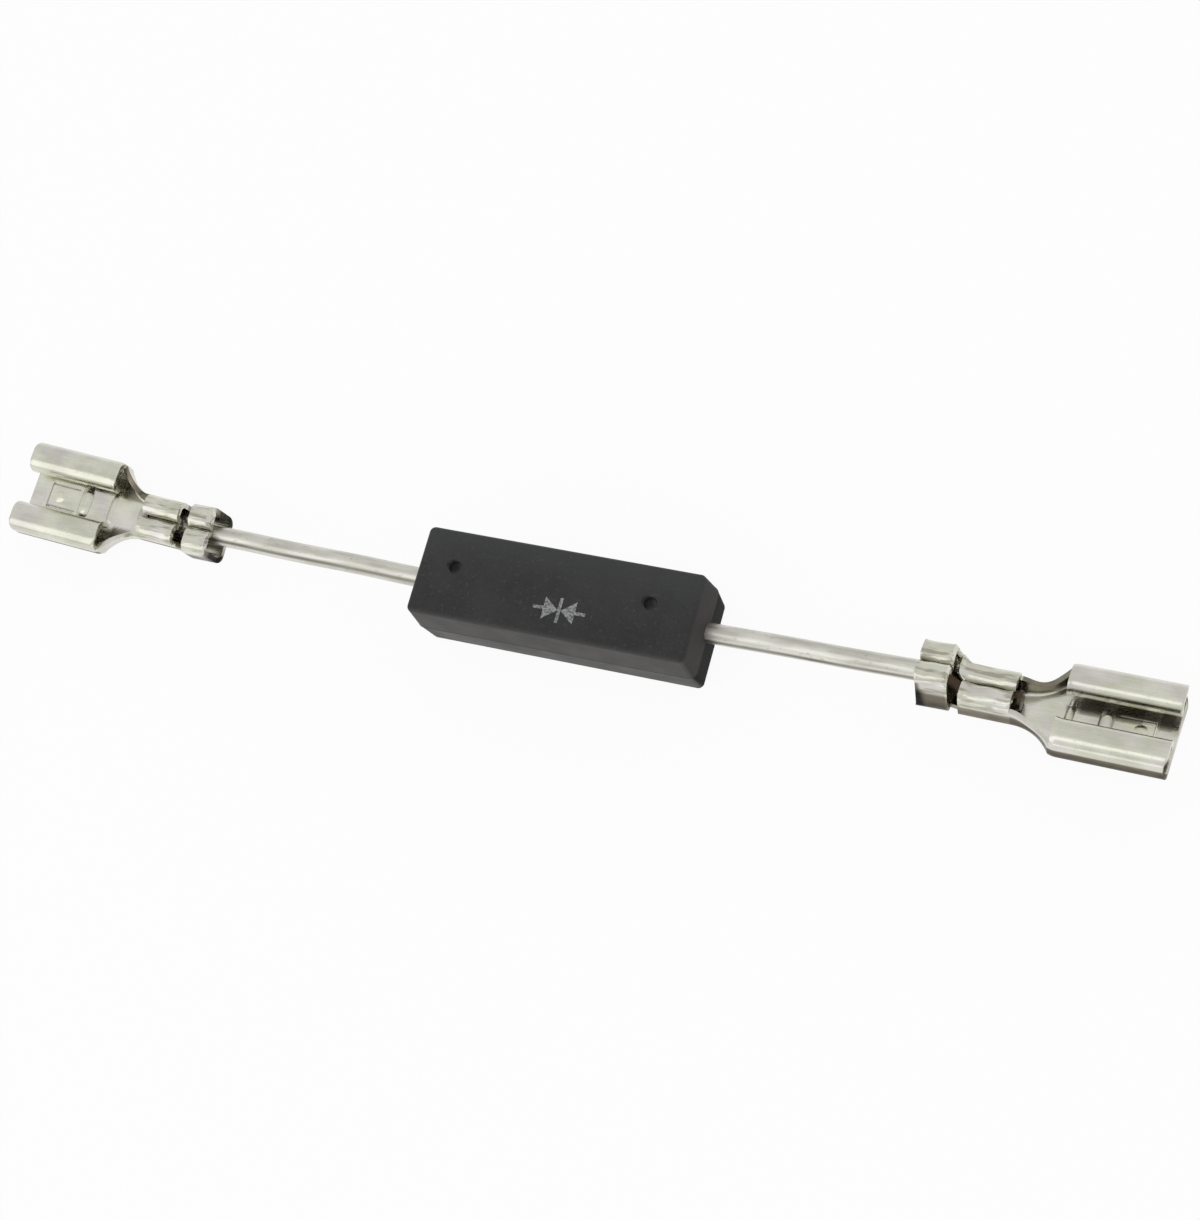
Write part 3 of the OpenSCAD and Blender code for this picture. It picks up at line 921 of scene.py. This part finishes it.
# %% [markdown]
# ### Painted shade on the inner skin
# The inner skin takes painted light on the rib, on the tip of the lance and at
# the mouth, where it has no shade, and painted shade in the crimp slot, in the
# rolls, under the rolls and in thin creases at the foot of each pressed feature.
# The two receptacles differ: the left one has less painted shade under its rolls,
# and painted shade in its neck.

# %% Inner fold paint
slot_from, slot_to = slot_ends[1, False]
slot_dark, shaded_neck = 0.95, 0.45
# How much painted shade lies under the rolls and inside them, per receptacle.
deepest, hollow = {-1: 0.22, 1: 0.40}, {-1: 0.05, 1: 0.33}
bend_from, bend_run = 0.1, 0.5
# Painted shade in the creases: how dark, and how far it reaches.
crease, crease_reach = {-1: 0.5, 1: 0.25}, {-1: 0.2, 1: 0.1}
# Where the painted shade under the rolls starts across the floor and along it.
roll_shade_from, roll_shade_run, roll_shade_x, roll_shade_x_run = {-1: 1.1, 1: 0.2}, 0.35, roll_x + 0.6, 0.5
# Where painted light takes the painted shade away: the lance's tip and the mouth.
tip_x, tip_reach, light_edge, light_share = lance_tip - 0.35, 0.45, 0.15, 0.9
mouth_light_x, mouth_light_run = mouth_x - 0.5, 0.3
# For the front and for the back: where the shade in the neck starts along it and across it.
shade_x, shade_x_run = (neck_x + 1.0, neck_x + 0.2), (0.6, 0.5)
shade_y, shade_y_run = (0.95, 0.85), 0.4


def near(x, middle, reach):
    """1 where x is within reach of the middle, with a soft edge."""
    return 1 - ramp(abs(x - middle), reach, light_edge)


def creased(x, y, reach):
    """1 at the foot of a pressed feature and at the lance's cut, and less within reach of them."""
    off = [reach]
    if lance_root < x < window_end:
        off.append(abs(y - tongue_y))
    if y < window_y + hair:
        off.append(abs(x - lance_tip))
    if y < rib_half:
        off += [abs(abs(x - rib_x) - rib_run), 2 * abs(abs(x - stop_x) - stop_run)]
    return 1 - min(off) / reach


def inner_shade(part, t, x, side, back):
    """How much painted shade a point of the inner skin takes, from 0 to 1."""
    if slot_from <= x <= slot_to:
        return slot_dark
    if part != "floor":
        deep = shaded_neck if neck_x < x < roll_x else hollow[side]
        return deep * ramp(t, bend_from, bend_run) if part == "bend" else deep
    y = t * (section(x).half - section(x).bend)
    if x < roll_x:
        shade = ramp(x, shade_x[back], shade_x_run[back]) * ramp(y, shade_y[back], shade_y_run)
        return shaded_neck * shade if side < 0 else 0.0
    # Painted light on the rib, the lance's tip and the mouth.
    painted_light = max(near(x, rib_x, rib_run), near(x, tip_x, tip_reach),
                 ramp(x, mouth_light_x, mouth_light_run))
    roll_shade = ramp(y, roll_shade_from[side], roll_shade_run) * (1 - light_share * painted_light)
    if side > 0:
        roll_shade *= ramp(x, roll_shade_x, roll_shade_x_run)
    # Painted shade under the rolls and in the creases.
    return max(deepest[side] * roll_shade, crease[side] * creased(x, y, crease_reach[side]))


print("oil on the floor starts", roll_shade_from, "mm from the middle")

# %% [markdown]
# ### Crimp marks and round corners
# A crimp is never even: its wings bell out at their ends and stay a little wavy.
# The blank's corners are rounded where it is cut off. Both are small moves of
# the grid's points, which look better than a bevel on so thin a sheet.

# %% Crumple and rounding
bell, wave_h, wave_turn = 0.10, 0.035, 3.1
mouth_round, grip_round, round_w, round_reach = 0.22, 0.12, 0.7, 0.6


def crumple(part, t, x, hand):
    """How far a crimped wing stands off its even shape."""
    if part not in CURLED or grip_l < x < barrel_x or x > neck_x:
        return 0.0
    start, end = (0, grip_l) if x <= grip_l else (barrel_x, neck_x)
    along = 2 * (x - start) / (end - start) - 1
    off = bell * along ** 4 + wave_h * (1 + sin(wave_turn * x + 2 * hand))
    return off * ease(t) if part == "rise" else off


def rounding(x, y, half):
    """How far along the outer corners of the mouth and of the grip's end are drawn in."""
    over = max(0, y - half + round_w) / round_w
    at_grip = grip_round * (1 - ease(x / round_reach))
    at_mouth = mouth_round * ramp(x, mouth_x - round_reach, round_reach)
    return (at_grip - at_mouth) * (1 - sqrt(max(0, 1 - over ** 2)))


print("wings stand off by up to", bell + 2 * wave_h, "mm")

# %% [markdown]
# ### The receptacles
# Now the grid can be folded. A point is made when the first cell that is left
# needs it, so nothing hangs loose where the press has cut. The materials come
# before Solidify, because it gives the inner skin the second of them. A small
# bevel takes the sharpness off the cut edges.

# %% Receptacles


def receptacle(name, side):
    """The folded sheet, still without thickness, with the paint on its points."""
    put = placer(side)
    points, faces, used, depth = [], [], {}, []

    def corner(i, j):
        """The number of the grid's point in row i and column j, made when it is first needed."""
        if (i, j) not in used:
            part, t, hand = COLUMNS[j]
            x, back = ROWS[i], hand == side
            here = section(x)
            y, z = fold(here, part, t)
            if part == "floor" and x >= roll_x:
                z += floor_lift(x, y)
            else:
                z += crumple(part, t, x, side * hand)
            used[i, j] = len(points)
            points.append(put(x + rounding(x, y, here.half), hand * y, z))
            # The painted shade of the outer and of the inner skin, and where the wings are crimped.
            depth.append((outer_shade(part, t, x, side, back), inner_shade(part, t, x, side, back),
                          1.0 if x <= neck_x and part != "floor" else 0.0))
        return used[i, j]

    for i in range(len(ROWS) - 1):
        for j in range(len(COLUMNS) - 1):
            outer, inner = COLUMNS[j], COLUMNS[j + 1]
            if outer[2] > 0:
                outer, inner = inner, outer
            part, t, hand = outer
            y, middle = flat_half * (t + inner[1]) / 2, (ROWS[i] + ROWS[i + 1]) / 2
            if not is_cut(part, hand, y, middle, slot_ends[side, hand == side]):
                faces.append([corner(i, j), corner(i, j + 1),
                              corner(i + 1, j + 1), corner(i + 1, j)])
    made = millimetre_object(name, points, faces)
    for label, values in zip(("shade_out", "shade_in", "crimped"), zip(*depth)):
        paint(made, label, values)
    return made


for side, word in SIDES.items():
    made = receptacle(f"receptacle_{word}", side)
    for finish in (sheet_out, sheet_in):
        made.data.materials.append(finish)
    modify(made, "SOLIDIFY", thickness=stock, offset=-1.0, material_offset=1, use_rim=True)
    modify(made, "BEVEL", width=0.05, segments=2, limit_method="ANGLE", angle_limit=radians(50))
    settle(made, sharp=35)
    stand_for(made, f"terminal_{word}", "tinned_sheet")

# %% [markdown]
# ## The pieces inside the block
# Nobody sees the dice, the solder and the slug, but they are part of the model,
# so their CAD nodes stay and get finishes of their own: polished silicon with a
# faint saw mark, dull solder, and copper that has browned a little.

# %% Inner finishes


def inner_finish(name, size, dark, light, metallic, roughness):
    f = Finish(name)
    cloud = f.noise(size, stretch=(1, 4, 1), detail=3.0)
    return f.surface(Base_Color=f.tint(cloud.step(0.3, 0.7), dark, light), Metallic=metallic,
                     Roughness=cloud.step(0.3, 0.7, roughness, roughness + 0.2),
                     Normal=f.bump(cloud, depth=0.005))


INNER = {
    "die": inner_finish("silicon", size=0.2, dark=(0.07, 0.075, 0.09, 1),
                        light=(0.14, 0.15, 0.17, 1), metallic=0.6, roughness=0.15),
    "solder": inner_finish("solder", size=0.4, dark=(0.36, 0.36, 0.37, 1),
                           light=(0.52, 0.52, 0.53, 1), metallic=1.0, roughness=0.4),
    "centre": inner_finish("copper", size=0.6, dark=(0.48, 0.23, 0.12, 1),
                           light=(0.74, 0.42, 0.26, 1), metallic=1.0, roughness=0.3),
}
finished = 0
for name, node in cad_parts.items():
    kind = name.split("_")[0]
    if kind in INNER:
        node.data.materials.clear()
        node.data.materials.append(INNER[kind])
        finished += 1
print("inner nodes with a finish:", finished)

# %% [markdown]
# ## The printed symbol
# The upper face carries the circuit symbol of two diodes that face each other,
# in thin grey ink. It is a flat mesh two hundredths of a millimetre thick, half
# of it let into the face, so that it stays crisp at any size. Noise wears it.

# %% Ink
symbol_x, symbol_y = 0.78, -1.25
line_half, tri_l, tri_half, bar_half, run_l = 0.12, 1.1, 0.85, 0.95, 0.8
base = tri_l + line_half
INK_WORN, INK_FRESH = (0.12, 0.12, 0.12, 1), (0.30, 0.305, 0.31, 1)


def faded_ink():
    f = Finish("faded_ink")
    kept = f.noise(0.18, detail=3.0).step(0.38, 0.62)
    return f.surface(Base_Color=f.tint(kept, INK_WORN, INK_FRESH),
                     Roughness=kept.step(0, 1, 0.75, 0.6), Normal=f.bump(kept, depth=0.006))


def oblong(start, end, half):
    """The corners of a rectangle that is half as far to each side of the X axis."""
    return [(start, -half), (end, -half), (end, half), (start, half)]


triangle = [(line_half, 0), (base, -tri_half), (base, tri_half)]
outlines = [oblong(-line_half, line_half, bar_half)]
for hand in (-1, 1):
    for outline in (triangle, oblong(base, base + run_l, line_half)):
        outlines.append([(hand * x, hand * y) for x, y in outline])
points, faces = [], []
for outline in outlines:
    shape, sides = skin([[(symbol_x + x, symbol_y + y, block_t + z) for x, y in outline]
                         for z in (-2 * ink_t, 0)])
    faces += [[k + len(points) for k in face] for face in sides]
    points += shape
symbol = millimetre_object("printed_symbol", points, faces)
settle(symbol, sharp=30)
symbol.data.materials.append(faded_ink())
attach(symbol, "root")

# %% [markdown]
# ## The floor
# The object lies on a plain white floor. What the camera sees of it, straight or
# in the metal, is mostly the floor's own white, so it stays white in soft light.
# The rest is lit paper, which takes the object's shadow.

# %% Floor
floor_half, floor_drop = 3000, 0.05
own_white = 0.93
PAPER, WHITE = (0.88, 0.88, 0.88, 1), (1, 1, 1, 1)


def studio_white():
    f = Finish("studio_white")
    seen = f.node("ShaderNodeLightPath", out="Is Camera Ray")
    seen += f.node("ShaderNodeLightPath", out="Is Glossy Ray")
    seen += f.node("ShaderNodeLightPath", out="Is Transmission Ray")
    paper = f.node("ShaderNodeBsdfDiffuse", sockets={"Color": PAPER})
    glow = f.node("ShaderNodeEmission", sockets={"Color": WHITE, "Strength": 1.0})
    mixed = f.node("ShaderNodeMixShader", sockets={0: own_white * seen, 1: paper, 2: glow})
    f.node("ShaderNodeOutputMaterial", sockets={"Surface": mixed})
    return f.material


corners = oblong(-floor_half, floor_half, floor_half)
floor = millimetre_object("floor", [(x, y, -floor_drop) for x, y in corners], [[0, 1, 2, 3]])
floor.data.transform(Matrix.Scale(MM, 4))
floor.data.materials.append(studio_white())
floor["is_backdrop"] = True
print("floor", 2 * floor_half, "mm wide")

# %% [markdown]
# ## The light
# Metal looks like what it mirrors, so the light is chosen for the tin: a large
# soft lamp at the front left draws the bright bands on the rolls, a low one in
# front lights their walls, and a small one above fills in. An even pale room
# keeps all other reflections soft. Places are in metres.

# %% Lamps and room
room_light = 0.80


def softbox(name, place, aim, size, watts):
    """An area lamp that looks at a point."""
    data = bpy.data.lights.new(name, "AREA")
    data.shape, data.size, data.size_y, data.energy = "RECTANGLE", size[0], size[1], watts
    box = bpy.data.objects.new(name, data)
    box.location = place
    box.rotation_euler = (Vector(aim) - Vector(place)).to_track_quat("-Z", "Y").to_euler()
    bpy.context.scene.collection.objects.link(box)
    print(name, watts, "W")


softbox("front_softbox", place=(-0.40, -0.40, 0.44), aim=(-0.04, 0, 0),
        size=(0.45, 0.7), watts=0.55)
softbox("low_softbox", place=(-0.08, -0.80, 0.10), aim=(0.037, 0, 0),
        size=(0.4, 0.2), watts=0.14)
softbox("top_softbox", place=(-0.065, -0.18, 0.67), aim=(0.037, 0, 0),
        size=(0.3, 0.25), watts=0.14)

world = bpy.data.worlds.new("studio")
world.use_nodes = True
room = world.node_tree.nodes["Background"]
room.inputs["Color"].default_value = WHITE
room.inputs["Strength"].default_value = room_light
bpy.context.scene.world = world

# %% [markdown]
# ## Finish
# Colours are shown as they are, and the box of the dressed object is printed
# in millimetres.

# %% Finish
bpy.context.scene.view_settings.view_transform = "Standard"


def plain(box):
    """A box as lists of numbers, which can be written to a file."""
    return [[float(c) for c in corner] for corner in box]


print("box in mm:", [[round(c / MM, 2) for c in corner] for corner in plain(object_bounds())])
